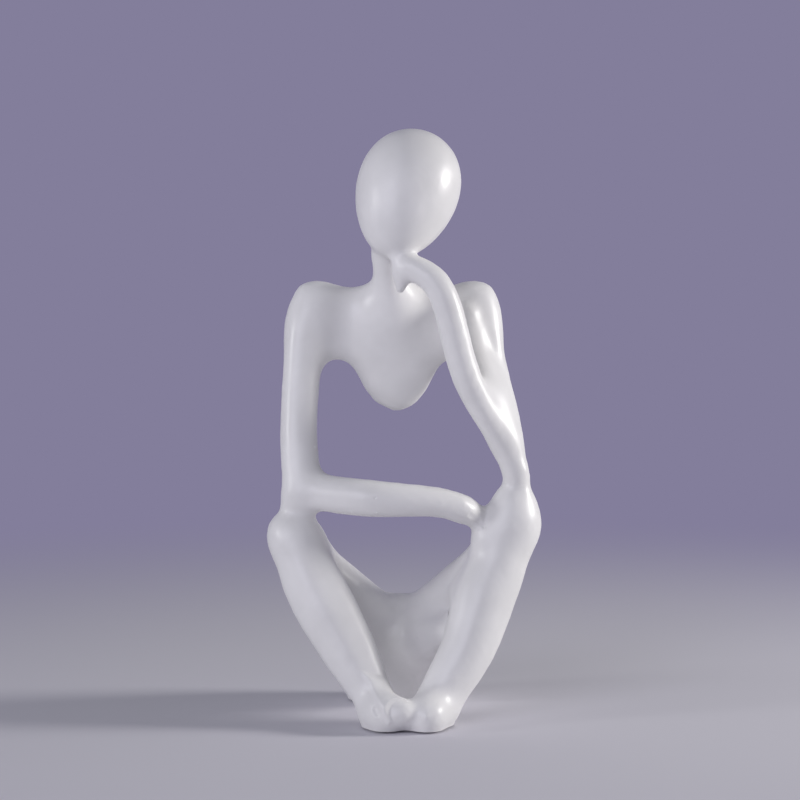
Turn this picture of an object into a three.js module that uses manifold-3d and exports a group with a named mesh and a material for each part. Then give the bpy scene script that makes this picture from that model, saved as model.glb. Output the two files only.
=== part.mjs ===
// Abstract seated figure with a blank egg for a head, one arm across its knees and one hand under its chin.
// It is cast in white filled resin in seven sections, which are pinned, bonded and stand on felt pads.
// Millimetres, +Z up. The figure faces -Y, so its own right arm and leg lie at -X. Z = 0 is the table.
import * as THREE from "three";
import { mergeVertices } from "three/addons/utils/BufferGeometryUtils.js";
import Module from "manifold-3d";

// Head: an egg, narrow end down, with its long axis leaning sideways and nodding forwards
const HEAD_WIDTH = 44.5;
const HEAD_LENGTH = 59.5;
const HEAD_TAPER = 0.15;
const HEAD_LEAN = 17;
const HEAD_NOD = 22;
const CHIN_HEIGHT = 201.5;
const CHIN_SIDE = -7;
const CHIN_FORWARD = 17;
const NECK_WIDTH = 14;
const NECK_TOP_REACH = [-0.5, 12, 2];

// Shoulders and chest
const SHOULDER_HEIGHT = 181.5;
const SHOULDER_SPAN = 72;
const SHOULDER_SIDE = -3.7;
const SHOULDER_SETBACK = 12;
const SHOULDER_WIDTH = 14.5;
const YOKE_WIDTH = 32;
const YOKE_DEPTH = 18;
const YOKE_OUTER_DROP = 6;
const YOKE_INNER_DROP = 4.5;
const CHEST_TOP_DROP = 10.5;
const CHEST_TOP_SETBACK = 1;
const CHEST_WIDTH = 38.5;
const CHEST_DEPTH = 19;
const CHEST_TIP_HEIGHT = 133;
const CHEST_TIP_WIDTH = 27;
const CHEST_TIP_SIDE = 0.6;
const CHEST_TIP_SETBACK = 2;

// Arms; each reach is the step from one landmark to the next
const RIGHT_ARM_WIDTH = 16.6;
const RIGHT_ARM_BOW = 3.2;
const RIGHT_ELBOW_WIDTH = 17;
const RIGHT_ELBOW_INSET = 3;
const RIGHT_ELBOW_SINK = 1;
const RIGHT_ELBOW_HEEL_REACH = [-3.5, 0, -10];
const RIGHT_ELBOW_HEEL_WIDTH = 11;
const RIGHT_WRIST_WIDTH = 13;
const RIGHT_FOREARM_BOW = 7;
const RIGHT_FINGERTIPS_REACH = [-15, -3.5, 6.5];
const RIGHT_KNUCKLES_REACH = [-7, -5, 4];
const RIGHT_WRIST_REACH = [-9, -3, 3];
const LEFT_ARM_WIDTH = 14;
const LEFT_ELBOW_WIDTH = 12;
const LEFT_ELBOW_REACH = [-0.5, -0.5, 6];
const LEFT_FOREARM_WIDTH = 13;
const LEFT_FOREARM_BOW = 4;
const CROOK_WEB_WIDTH = 12;
const LEFT_KNUCKLES_REACH = [7, -1, 1];
const LEFT_FINGERTIPS_REACH = [-1.5, 1, -9.5];
const LEFT_WRIST_REACH = [14, -4, -7];
const HAND_WIDTH = 11;
const RIGHT_HAND_WIDTH = 13;
const RIGHT_FINGERS_WIDTH = 10.5;
const LEFT_FINGERTIP_WIDTH = 5.2;

// Legs
const KNEE_SPAN = 95;
const KNEE_SIDE = -0.5;
const KNEE_HEIGHT = 80;
const KNEE_FORWARD = 6;
const KNEE_WIDTH = 24;
const LEFT_KNEE_LIFT = 2;
const LEFT_KNEE_RISE = 20;
const LEFT_KNEE_CREST_WIDTH = 12;
const LEFT_KNEE_CREST_SIDE = 2.4;
const LEFT_KNEE_CREST_FORWARD = 2;
const KNEE_WEB_WIDTH = 16;
const KNEE_WEB_INSET = 3;
const HAND_REST_REACH = [-9.5, -3, -2];
const HAND_REST_WIDTH = 16;
const SHIN_WIDTH = 27;
const SHIN_DEPTH = 25;
const RIGHT_SHIN_BOW = -2;
const LEFT_SHIN_BOW = 1;
const RIGHT_CALF_BOW = -0.8;
const LEFT_CALF_BOW = 3;
const RIGHT_ANKLE_WIDTH = 17;
const LEFT_ANKLE_WIDTH = 20;
const ANKLE_SPAN = 28;
const ANKLE_SIDE = 1.5;
const ANKLE_HEIGHT = 12;
const ANKLE_FORWARD = 26;
const FOOT_WIDTH = 16;
const TOE_WIDTH = 12;
const RIGHT_HEEL_REACH = [1, -5, -6];
const RIGHT_SOLE_REACH = [4, -11, -6];
const RIGHT_INSTEP_REACH = [4, -9, -2];
const RIGHT_TOE_REACH = [12, -15, -3];
const LEFT_HEEL_REACH = [-1, -1, -6];
const LEFT_FOREFOOT_REACH = [-4.5, -9.5, -5];
const LEFT_TOE_REACH = [-5.5, -13, -5];
const ANKLE_WEB_REACH = [5, -9, -5.5];
const ANKLE_WEB_WIDTH = 12;

// Thighs and seat
const THIGH_WIDTH = 27;
const THIGH_BOW = 3.5;
const SEAT_SIDE = -1.2;
const SEAT_HEIGHT = 49.3;
const SEAT_FULLNESS = 1.2;
const SEAT_SETBACK = 28;
const SEAT_DEPTH = 33;
const SEAT_LENGTH = 27;
const THIGH_ROOT_FORWARD = 4;
const THIGH_ROOT_RISE = 13;
const LAP_WEB_ROOT_REACH = [-4, -6, -4];
const LAP_WEB_ROOT_WIDTH = 26;
const LAP_WEB_EDGE_REACH = [-6, 12, 0];
const LAP_WEB_EDGE_WIDTH = 15;

// Bonding, pins and pads
const BOND_GAP = 0.3;
const PIN_DIAMETER = 3;
const PIN_LENGTH = 16;
const SMALL_PIN_DIAMETER = 2;
const SMALL_PIN_LENGTH = 7;
const PIN_CLEARANCE = 0.3;
const PAD_THICKNESS = 1;
const PAD_INSET = 1.5;
const TABLE_SIZE = 400;
const TABLE_THICKNESS = 100;

// Surface: facet sizes, and the fillets where one form runs into the next
const FACET = 4.2;
const FINE_FACET = 3.6;
const HAND_FACET = 3;
const COARSE_FACET = 5;
const FIT_FACET = 2;
const BODY_FILLET = 9;
const SHOULDER_FILLET = 14;
const NECK_FILLET = 16;
const LIMB_FILLET = 6;
const CROOK_FILLET = 8;
const POST_FILLET = 3;
const SPAN_STEPS = 6;

// Sections: the power of the oval across a limb at a station
const ROUND = 2;
const TORSO_SECTION = 2.6;
const KNEE_SECTION = 1.6;
const SHIN_SECTION = 1.25;
const ANKLE_SECTION = 1.5;
const POST_SECTION = 1.6;
const FOREARM_SECTION = 1.6;
const THIGH_SECTION = 2.8;
const SEAT_SECTION = 2.4;

// Limits of the surface net
const SHORTEST_EDGE = 0.02;
const ROUND_LIMIT = 0.01;
const SCALE_TURNS = 3;
const GRID_SHIFTS = [0, 0.3, 0.6, 0.15, 0.45, 0.75, 0.9];

const wasm = await Module();
wasm.setup();

const point = (x, y, z) => new THREE.Vector3(x, y, z);
const shifted = (from, x, y, z) => from.clone().add(point(x, y, z));
const between = (a, b, share) => a.clone().lerp(b, share);
const slope = (degrees) => Math.tan(THREE.MathUtils.degToRad(degrees));

// Landmarks of the pose: head, shoulders and chest
const chin = point(CHIN_SIDE, -CHIN_FORWARD, CHIN_HEIGHT);
const headAxis = point(slope(HEAD_LEAN), slope(HEAD_NOD), 1).normalize();
const headCentre = chin.clone().addScaledVector(headAxis, HEAD_LENGTH / 2);
const rightShoulder = point(SHOULDER_SIDE - SHOULDER_SPAN / 2, SHOULDER_SETBACK, SHOULDER_HEIGHT);
const leftShoulder = point(SHOULDER_SIDE + SHOULDER_SPAN / 2, SHOULDER_SETBACK, SHOULDER_HEIGHT);
const chestTop = point(
  SHOULDER_SIDE,
  SHOULDER_SETBACK + CHEST_TOP_SETBACK,
  SHOULDER_HEIGHT - CHEST_TOP_DROP,
);
const chestTip = point(
  SHOULDER_SIDE + CHEST_TIP_SIDE,
  SHOULDER_SETBACK + CHEST_TIP_SETBACK,
  CHEST_TIP_HEIGHT + CHEST_TIP_WIDTH / 2,
);
const neckTop = shifted(chin, ...NECK_TOP_REACH);

// Landmarks of the legs
const rightKnee = point(KNEE_SIDE - KNEE_SPAN / 2, -KNEE_FORWARD, KNEE_HEIGHT);
const leftKnee = point(KNEE_SIDE + KNEE_SPAN / 2, -KNEE_FORWARD, KNEE_HEIGHT + LEFT_KNEE_LIFT);
const leftCrest = shifted(leftKnee, LEFT_KNEE_CREST_SIDE, -LEFT_KNEE_CREST_FORWARD, LEFT_KNEE_RISE);
const rightAnkle = point(ANKLE_SIDE - ANKLE_SPAN / 2, -ANKLE_FORWARD, ANKLE_HEIGHT);
const leftAnkle = point(ANKLE_SIDE + ANKLE_SPAN / 2, -ANKLE_FORWARD, ANKLE_HEIGHT);

// The seat is an oval taller than the figure's lap, so that the table cuts off a broad footprint
const seatGirth = SEAT_HEIGHT * SEAT_FULLNESS;
const seatCentre = point(SEAT_SIDE, SEAT_SETBACK, SEAT_HEIGHT - seatGirth / 2);
const rightSeat = shifted(seatCentre, -SEAT_LENGTH / 2, -THIGH_ROOT_FORWARD, THIGH_ROOT_RISE);
const leftSeat = shifted(seatCentre, SEAT_LENGTH / 2, -THIGH_ROOT_FORWARD, THIGH_ROOT_RISE);

// Landmarks of the arms: elbows and right fingertips rest on the knees, the left hand props the chin
const rightElbowRise = (KNEE_WIDTH + RIGHT_ELBOW_WIDTH) / 2 - RIGHT_ELBOW_SINK;
const rightElbow = shifted(rightKnee, RIGHT_ELBOW_INSET, 0, rightElbowRise);
const leftElbow = shifted(leftCrest, ...LEFT_ELBOW_REACH);
const rightFingertips = shifted(leftKnee, ...RIGHT_FINGERTIPS_REACH);
const rightKnuckles = shifted(rightFingertips, ...RIGHT_KNUCKLES_REACH);
const rightWrist = shifted(rightKnuckles, ...RIGHT_WRIST_REACH);
const handTop = shifted(chin, ...LEFT_KNUCKLES_REACH);
const leftKnuckles = shifted(handTop, 0, 0, -HAND_WIDTH / 2);
const leftFingertips = shifted(leftKnuckles, ...LEFT_FINGERTIPS_REACH);
const leftWrist = shifted(leftKnuckles, ...LEFT_WRIST_REACH);

// A form is a signed distance, negative inside, with a box that holds it
const smoothMin = (a, b, fillet) => {
  const overlap = Math.max(fillet - Math.abs(a - b), 0) / fillet;
  return Math.min(a, b) - overlap * overlap * fillet / 4;
};

function blend(fillet, ...forms) {
  const box = forms.reduce((all, form) => all.union(form.box), new THREE.Box3());
  const distance = (x, y, z) => {
    let nearest = forms[0].distance(x, y, z);
    for (const form of forms.slice(1)) {
      nearest = smoothMin(nearest, form.distance(x, y, z), fillet);
    }
    return nearest;
  };
  return { distance, box };
}

function grown(form, margin) {
  const distance = (x, y, z) => form.distance(x, y, z) - margin;
  return { distance, box: form.box.clone().expandByScalar(Math.max(margin, 0)) };
}

// The part of a form that lies in a box
function clipped(form, box) {
  const centre = box.getCenter(point(0, 0, 0));
  const half = box.getSize(point(0, 0, 0)).divideScalar(2);
  const distance = (x, y, z) => Math.max(
    form.distance(x, y, z),
    Math.abs(x - centre.x) - half.x,
    Math.abs(y - centre.y) - half.y,
    Math.abs(z - centre.z) - half.z,
  );
  return { distance, box };
}

// Distance to an oval, across^section + deep^2 = 1, scaled until it passes the point. A section below 2 makes
// a ridge down the front and back of a limb, and one above 2 makes them flat.
function ovalDistance(acrossSquared, depth, halfWidth, halfDepth, section = ROUND) {
  const across = Math.sqrt(acrossSquared) / halfWidth;
  const deep = Math.abs(depth) / halfDepth;
  let near = Math.hypot(across, deep);
  if (near === 0) {
    return -Math.min(halfWidth, halfDepth);
  }
  if (Math.abs(section - ROUND) < ROUND_LIMIT) {
    return (near - 1) * near / Math.hypot(across / halfWidth, deep / halfDepth);
  }
  for (let turn = 0; turn < SCALE_TURNS; turn += 1) {
    const side = (across / near) ** section;
    const front = (deep / near) ** 2;
    near *= 1 + (side + front - 1) / (section * side + 2 * front);
  }
  const side = section * (across / near) ** (section - 1);
  const front = 2 * deep / near;
  const spread = (side * across + front * deep) / near;
  return (near - 1) * spread / Math.hypot(side / halfWidth, front / halfDepth);
}

// Limb: an oval tube along a curve through stations of [centre, width, depth, section], its depth along Y
function limb(stations, { start = 0, end = 1 } = {}) {
  const path = new THREE.CatmullRomCurve3(stations.map(([centre]) => centre));
  const girth = new THREE.CatmullRomCurve3(
    stations.map(([, width, depth = width, section = ROUND]) => point(width / 2, depth / 2, section)),
  );
  const count = Math.ceil((stations.length - 1) * SPAN_STEPS * (end - start));
  const knots = [];
  const box = new THREE.Box3();
  for (let i = 0; i <= count; i += 1) {
    const share = start + (end - start) * i / count;
    const at = path.getPoint(share);
    const half = girth.getPoint(share);
    knots.push({ at, half });
    box.union(new THREE.Box3(at.clone(), at.clone()).expandByScalar(Math.max(half.x, half.y)));
  }
  const spans = knots.slice(1).map((knot, i) => ({
    from: knots[i].at,
    along: knot.at.clone().sub(knots[i].at),
    half: knots[i].half,
    change: knot.half.clone().sub(knots[i].half),
  }));
  const distance = (x, y, z) => {
    let nearest = Infinity;
    for (const { from, along, half, change } of spans) {
      const reach = (x - from.x) * along.x + (y - from.y) * along.y + (z - from.z) * along.z;
      const share = Math.min(Math.max(reach / along.lengthSq(), 0), 1);
      const dx = x - from.x - along.x * share;
      const dy = y - from.y - along.y * share;
      const dz = z - from.z - along.z * share;
      const halfWidth = half.x + change.x * share;
      const halfDepth = half.y + change.y * share;
      const section = half.z + change.z * share;
      nearest = Math.min(nearest, ovalDistance(dx * dx + dz * dz, dy, halfWidth, halfDepth, section));
    }
    return nearest;
  };
  return { distance, box, path };
}

// Egg: an ellipsoid on an axis, its girth tapering towards the lower end
function egg(centre, axis, length, width, taper) {
  const distance = (x, y, z) => {
    const offset = point(x, y, z).sub(centre);
    const along = offset.dot(axis);
    const share = THREE.MathUtils.clamp(along / (length / 2), -1, 1);
    const acrossSquared = Math.max(offset.lengthSq() - along * along, 0);
    return ovalDistance(acrossSquared, along, width / 2 * (1 + taper * share), length / 2);
  };
  const reach = Math.max(length, width * (1 + taper)) / 2;
  const box = new THREE.Box3(centre.clone(), centre.clone()).expandByScalar(reach);
  return { distance, box };
}

// Solid from a closed geometry, and back to a geometry of positions only
function solidOf(geometry) {
  geometry.deleteAttribute("normal");
  geometry.deleteAttribute("uv");
  const closed = mergeVertices(geometry);
  const mesh = new wasm.Mesh({
    numProp: 3,
    vertProperties: new Float32Array(closed.attributes.position.array),
    triVerts: new Uint32Array(closed.index.array),
  });
  return new wasm.Manifold(mesh);
}

function geometryOf(corners, triangles) {
  const geometry = new THREE.BufferGeometry();
  geometry.setAttribute("position", new THREE.Float32BufferAttribute(corners, 3));
  geometry.setIndex(Array.from(triangles));
  return geometry;
}

// Joins corners that cuts have left closer than a limit, and drops the triangles that fold flat
function welded({ vertProperties, triVerts }, limit) {
  const corner = (id) => point(...vertProperties.slice(3 * id, 3 * id + 3));
  const parent = Array.from({ length: vertProperties.length / 3 }, (_, id) => id);
  const rootOf = (id) => {
    let root = id;
    while (parent[root] !== root) {
      root = parent[root];
    }
    return root;
  };
  for (let i = 0; i < triVerts.length; i += 1) {
    const next = i % 3 === 2 ? i - 2 : i + 1;
    const [a, b] = [rootOf(triVerts[i]), rootOf(triVerts[next])];
    if (a !== b && corner(triVerts[i]).distanceTo(corner(triVerts[next])) < limit) {
      parent[b] = a;
    }
  }
  const kept = new Map();
  for (let i = 0; i < triVerts.length; i += 3) {
    const triangle = [0, 1, 2].map((k) => rootOf(triVerts[i + k]));
    if (new Set(triangle).size === 3) {
      const key = triangle.toSorted((a, b) => a - b).join();
      if (kept.has(key)) {
        kept.delete(key);
      } else {
        kept.set(key, triangle);
      }
    }
  }
  return geometryOf(vertProperties, [...kept.values()].flat());
}

// Moves a point onto the surface of a form along the slope of its distance
function settle(form, spot, limit) {
  const step = 0.05;
  const began = spot.clone();
  for (let turn = 0; turn < 4; turn += 1) {
    const here = form.distance(spot.x, spot.y, spot.z);
    const rise = point(
      form.distance(spot.x + step, spot.y, spot.z) - form.distance(spot.x - step, spot.y, spot.z),
      form.distance(spot.x, spot.y + step, spot.z) - form.distance(spot.x, spot.y - step, spot.z),
      form.distance(spot.x, spot.y, spot.z + step) - form.distance(spot.x, spot.y, spot.z - step),
    ).divideScalar(2 * step);
    spot.addScaledVector(rise, -here / Math.max(rise.lengthSq(), 0.05));
  }
  return spot.sub(began).clampLength(0, limit).add(began);
}

// Closed skin of a form; where two sheets of it meet in one cell, the grid is moved on and laid again
function skin(form, cell) {
  for (const shift of GRID_SHIFTS) {
    const { corners, triangles } = net(form, cell, shift);
    const uses = new Map();
    for (let i = 0; i < triangles.length; i += 1) {
      const [a, b] = [triangles[i], triangles[i % 3 === 2 ? i - 2 : i + 1]];
      const key = Math.min(a, b) * corners.length + Math.max(a, b);
      uses.set(key, (uses.get(key) ?? 0) + 1);
    }
    if ([...uses.values()].every((count) => count === 2)) {
      return solidOf(geometryOf(corners, triangles));
    }
  }
  throw new Error("two sheets of a form lie too close for its facet size");
}

// Surface net of a form: one corner in every cell that the surface crosses
function net(form, cell, shift) {
  const low = form.box.min.clone().subScalar((2 + shift) * cell);
  const size = form.box.max.clone().sub(low).addScalar(2 * cell).divideScalar(cell);
  const counts = [size.x, size.y, size.z].map((length) => Math.ceil(length) + 1);
  const [nx, ny] = counts;
  const strides = [1, nx, nx * ny];
  const index = (i, j, k) => i + nx * (j + ny * k);
  const values = new Float64Array(counts[0] * counts[1] * counts[2]);
  const everyNode = (visit, margin) => {
    for (let k = 0; k < counts[2] - margin; k += 1) {
      for (let j = 0; j < counts[1] - margin; j += 1) {
        for (let i = 0; i < counts[0] - margin; i += 1) {
          visit([i, j, k], index(i, j, k));
        }
      }
    }
  };
  everyNode(([i, j, k], at) => {
    values[at] = form.distance(low.x + cell * i, low.y + cell * j, low.z + cell * k);
  }, 0);
  const corners = [];
  const cornerOf = new Map();
  everyNode((node, at) => {
    const sum = point(0, 0, 0);
    let crossings = 0;
    for (let axis = 0; axis < 3; axis += 1) {
      const [across, other] = [(axis + 1) % 3, (axis + 2) % 3];
      for (const [stepA, stepB] of [[0, 0], [1, 0], [0, 1], [1, 1]]) {
        const start = at + stepA * strides[across] + stepB * strides[other];
        const [a, b] = [values[start], values[start + strides[axis]]];
        if ((a < 0) !== (b < 0)) {
          const crossing = [0, 0, 0];
          crossing[axis] = a / (a - b);
          crossing[across] = stepA;
          crossing[other] = stepB;
          sum.add(point(...crossing));
          crossings += 1;
        }
      }
    }
    if (crossings > 0) {
      const spot = sum.divideScalar(crossings).add(point(...node)).multiplyScalar(cell).add(low);
      settle(form, spot, cell * 0.45);
      cornerOf.set(at, corners.length / 3);
      corners.push(spot.x, spot.y, spot.z);
    }
  }, 1);
  const triangles = [];
  const cornerAt = (id) => point(...corners.slice(3 * id, 3 * id + 3));
  everyNode((node, at) => {
    for (let axis = 0; axis < 3; axis += 1) {
      const [across, other] = [(axis + 1) % 3, (axis + 2) % 3];
      const [a, b] = [values[at], values[at + strides[axis]]];
      if ((a < 0) !== (b < 0)) {
        const [p, q] = [strides[across], strides[other]];
        const quad = [at - p - q, at - q, at, at - p].map((cellAt) => cornerOf.get(cellAt));
        const [c0, c1, c2, c3] = a < 0 ? quad : quad.reverse();
        if (cornerAt(c0).distanceTo(cornerAt(c2)) < cornerAt(c1).distanceTo(cornerAt(c3))) {
          triangles.push(c0, c1, c2, c0, c2, c3);
        } else {
          triangles.push(c0, c1, c3, c1, c2, c3);
        }
      }
    }
  }, 1);
  return { corners, triangles };
}

// Round bar from a point along a direction
function bar(from, direction, length, diameter, sides = 16) {
  const turn = new THREE.Quaternion().setFromUnitVectors(point(0, 1, 0), direction);
  const geometry = new THREE.CylinderGeometry(diameter / 2, diameter / 2, length, sides);
  geometry.translate(0, length / 2, 0);
  geometry.applyQuaternion(turn);
  geometry.translate(from.x, from.y, from.z);
  return solidOf(geometry);
}

// Slab that reaches well past the figure sideways, between two heights
function slab(low, high) {
  const geometry = new THREE.BoxGeometry(TABLE_SIZE, TABLE_SIZE, high - low);
  geometry.translate(0, 0, (low + high) / 2);
  return solidOf(geometry);
}

// Forms of the head, neck, shoulders and chest
const headForm = egg(headCentre, headAxis, HEAD_LENGTH, HEAD_WIDTH, HEAD_TAPER);
const neckForm = limb([
  [neckTop, NECK_WIDTH],
  [between(neckTop, chestTop, 0.4), NECK_WIDTH * 0.93],
  [between(neckTop, chestTop, 0.75), NECK_WIDTH * 1.2],
]);
const halfYoke = (shoulder) => [
  [shoulder, SHOULDER_WIDTH * 0.6, SHOULDER_WIDTH * 0.6, TORSO_SECTION],
  [
    shifted(between(shoulder, chestTop, 0.2), 0, 0, -YOKE_OUTER_DROP),
    YOKE_WIDTH * 0.86, YOKE_DEPTH * 0.9, TORSO_SECTION,
  ],
  [
    shifted(between(shoulder, chestTop, 0.5), 0, 0, -YOKE_INNER_DROP),
    YOKE_WIDTH, YOKE_DEPTH * 0.96, TORSO_SECTION,
  ],
];
const yokeForm = limb([
  ...halfYoke(rightShoulder),
  [chestTop, YOKE_WIDTH, YOKE_DEPTH, TORSO_SECTION],
  ...halfYoke(leftShoulder).reverse(),
]);
const chestForm = limb([
  [between(chestTop, chestTip, 0.4), CHEST_WIDTH, CHEST_DEPTH, TORSO_SECTION],
  [between(chestTop, chestTip, 0.7), CHEST_WIDTH * 0.92, CHEST_DEPTH * 0.92, TORSO_SECTION],
  [chestTip, CHEST_TIP_WIDTH, CHEST_DEPTH * 0.7, TORSO_SECTION],
]);

// Forms of the arms; the upper arms run on past the bond planes so both sides share one curve
const rightUpperArm = [
  [rightShoulder, SHOULDER_WIDTH],
  [shifted(between(rightShoulder, rightElbow, 0.15), -RIGHT_ARM_BOW * 0.9, 0, 0), RIGHT_ARM_WIDTH],
  [shifted(between(rightShoulder, rightElbow, 0.4), -RIGHT_ARM_BOW, 0, 0), RIGHT_ARM_WIDTH],
  [shifted(between(rightShoulder, rightElbow, 0.7), -RIGHT_ARM_BOW * 0.8, 0, 0), RIGHT_ARM_WIDTH],
  [rightElbow, RIGHT_ELBOW_WIDTH],
  [shifted(rightElbow, ...RIGHT_ELBOW_HEEL_REACH), RIGHT_ELBOW_HEEL_WIDTH],
];
const leftUpperArm = [
  [leftShoulder, SHOULDER_WIDTH],
  [between(leftShoulder, leftElbow, 0.15), LEFT_ARM_WIDTH * 1.05],
  [between(leftShoulder, leftElbow, 0.4), LEFT_ARM_WIDTH],
  [between(leftShoulder, leftElbow, 0.7), LEFT_ARM_WIDTH],
  [leftElbow, LEFT_ELBOW_WIDTH * 0.7],
];
const rightForearm = limb([
  [between(rightElbow, rightWrist, 0.1), RIGHT_ELBOW_WIDTH * 0.95],
  [shifted(between(rightElbow, rightWrist, 0.5), 0, -RIGHT_FOREARM_BOW, 0), RIGHT_ELBOW_WIDTH * 0.95],
  [rightWrist, RIGHT_WRIST_WIDTH],
  [rightKnuckles, RIGHT_HAND_WIDTH],
  [rightFingertips, RIGHT_FINGERS_WIDTH],
]);
const leftForearm = limb([
  [between(leftElbow, leftWrist, 0.1), LEFT_ELBOW_WIDTH * 0.75],
  [
    shifted(between(leftElbow, leftWrist, 0.5), -LEFT_FOREARM_BOW, -LEFT_FOREARM_BOW, 0),
    LEFT_FOREARM_WIDTH, LEFT_FOREARM_WIDTH, FOREARM_SECTION,
  ],
  [leftWrist, LEFT_FOREARM_WIDTH * 0.95],
  [leftKnuckles, HAND_WIDTH],
  [leftFingertips, LEFT_FINGERTIP_WIDTH],
]);
const inCrook = (share) => {
  const alongForearm = between(leftElbow, leftWrist, share);
  return between(alongForearm, between(leftElbow, leftShoulder, share), 0.5);
};
const crookWeb = limb([
  [inCrook(0.2), LEFT_ELBOW_WIDTH * 0.7],
  [inCrook(0.4), CROOK_WEB_WIDTH],
  [inCrook(0.55), CROOK_WEB_WIDTH * 0.6],
]);

// Forms of the legs and seat: one curve runs from knee to knee through the seat
const halfThighs = (knee, seat, side) => [
  [knee, KNEE_WIDTH],
  [
    shifted(between(knee, seat, 0.35), side * THIGH_BOW * 0.8, THIGH_BOW, 0),
    THIGH_WIDTH * 0.88, THIGH_WIDTH * 0.88, THIGH_SECTION,
  ],
  [
    shifted(between(knee, seat, 0.6), side * THIGH_BOW * 0.5, THIGH_BOW, 0),
    THIGH_WIDTH, THIGH_WIDTH, THIGH_SECTION,
  ],
  [seat, THIGH_WIDTH * 1.35, SEAT_DEPTH * 0.92, SEAT_SECTION],
];
const thighs = [
  ...halfThighs(rightKnee, rightSeat, -1),
  [seatCentre, seatGirth, SEAT_DEPTH, SEAT_SECTION],
  ...halfThighs(leftKnee, leftSeat, 1).reverse(),
];
const shin = (knee, ankle, ankleWidth, bow, calfBow) => limb([
  [shifted(between(knee, ankle, 0.1), bow * 0.3, 0, 0), KNEE_WIDTH * 0.92, KNEE_WIDTH, KNEE_SECTION],
  [shifted(between(knee, ankle, 0.25), bow, 0, 0), SHIN_WIDTH * 0.95, SHIN_DEPTH, SHIN_SECTION],
  [shifted(between(knee, ankle, 0.4), bow, 0, 0), SHIN_WIDTH, SHIN_DEPTH, SHIN_SECTION],
  [shifted(between(knee, ankle, 0.7), calfBow, 0, 0), SHIN_WIDTH * 0.9, SHIN_DEPTH * 0.9, SHIN_SECTION],
  [ankle, ankleWidth, RIGHT_ANKLE_WIDTH, ANKLE_SECTION],
]);
const rightShin = shin(rightKnee, rightAnkle, RIGHT_ANKLE_WIDTH, RIGHT_SHIN_BOW, RIGHT_CALF_BOW);
const leftShin = shin(leftKnee, leftAnkle, LEFT_ANKLE_WIDTH, LEFT_SHIN_BOW, LEFT_CALF_BOW);
const rightFoot = limb([
  [shifted(rightAnkle, ...RIGHT_HEEL_REACH), FOOT_WIDTH],
  [shifted(rightAnkle, ...RIGHT_SOLE_REACH), FOOT_WIDTH * 0.9],
]);
const rightToes = limb([
  [shifted(rightAnkle, ...RIGHT_INSTEP_REACH), RIGHT_ANKLE_WIDTH * 0.8],
  [shifted(rightAnkle, ...RIGHT_TOE_REACH), TOE_WIDTH, TOE_WIDTH, ANKLE_SECTION],
]);
const leftFoot = limb([
  [shifted(leftAnkle, ...LEFT_HEEL_REACH), FOOT_WIDTH],
  [shifted(leftAnkle, ...LEFT_FOREFOOT_REACH), FOOT_WIDTH],
  [shifted(leftAnkle, ...LEFT_TOE_REACH), FOOT_WIDTH * 0.9],
]);
const ankleWeb = limb([
  [shifted(leftAnkle, ...LEFT_FOREFOOT_REACH), ANKLE_WEB_WIDTH],
  [shifted(rightAnkle, ...ANKLE_WEB_REACH), ANKLE_WEB_WIDTH],
]);

// Post from the left knee up into the left elbow, narrowest between them, and the rest for the right hand
const leftPost = [
  [between(leftKnee, leftCrest, 0.3), KNEE_WIDTH * 0.92, KNEE_WIDTH * 0.92, POST_SECTION],
  [between(leftKnee, leftCrest, 0.65), KNEE_WIDTH * 0.76, KNEE_WIDTH * 0.76, POST_SECTION],
  [leftCrest, LEFT_KNEE_CREST_WIDTH, LEFT_KNEE_CREST_WIDTH, POST_SECTION],
  [leftElbow, LEFT_ELBOW_WIDTH],
];
const underKnee = (share) => {
  const alongShin = between(leftKnee, leftAnkle, share);
  return between(alongShin, between(leftKnee, leftSeat, share), 0.5);
};
const kneeWeb = limb([
  [underKnee(0.25), KNEE_WEB_WIDTH],
  [shifted(underKnee(0.5), -KNEE_WEB_INSET, 0, 0), KNEE_WEB_WIDTH],
]);
const handRest = limb([
  [between(leftKnee, leftCrest, 0.2), KNEE_WIDTH * 0.85],
  [shifted(leftKnee, ...HAND_REST_REACH), HAND_REST_WIDTH],
]);

// Bond planes: where they lie on their curves, and the way they face
const RIGHT_ARM_BOND = 0.57;
const LEFT_ARM_BOND = 0.46;
const THIGH_BOND = 0.27;
const POST_BOND = 0.7;
const LAP_MARGIN = 0.02;
const bondOn = (stations, share) => {
  const path = limb(stations).path;
  const at = path.getPoint(share);
  const facing = path.getPoint(share + 0.01).sub(path.getPoint(share - 0.01)).normalize();
  return { at, facing, width: stations[2][1] };
};
const rightArmBond = bondOn(rightUpperArm, RIGHT_ARM_BOND);
const leftArmBond = bondOn(leftUpperArm, LEFT_ARM_BOND);
const rightThighBond = bondOn(thighs, THIGH_BOND);
const leftThighBond = bondOn(thighs, 1 - THIGH_BOND);
const leftPostBond = bondOn(leftPost, POST_BOND);

// Solid that takes away what lies past a bond plane, on the side it faces or the other
function pastBond(bond, side) {
  const facing = bond.facing.clone().multiplyScalar(side);
  const from = bond.at.clone().addScaledVector(facing, -BOND_GAP / 2);
  return bar(from, facing, bond.width * 0.9, bond.width * 1.5, 32);
}

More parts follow.
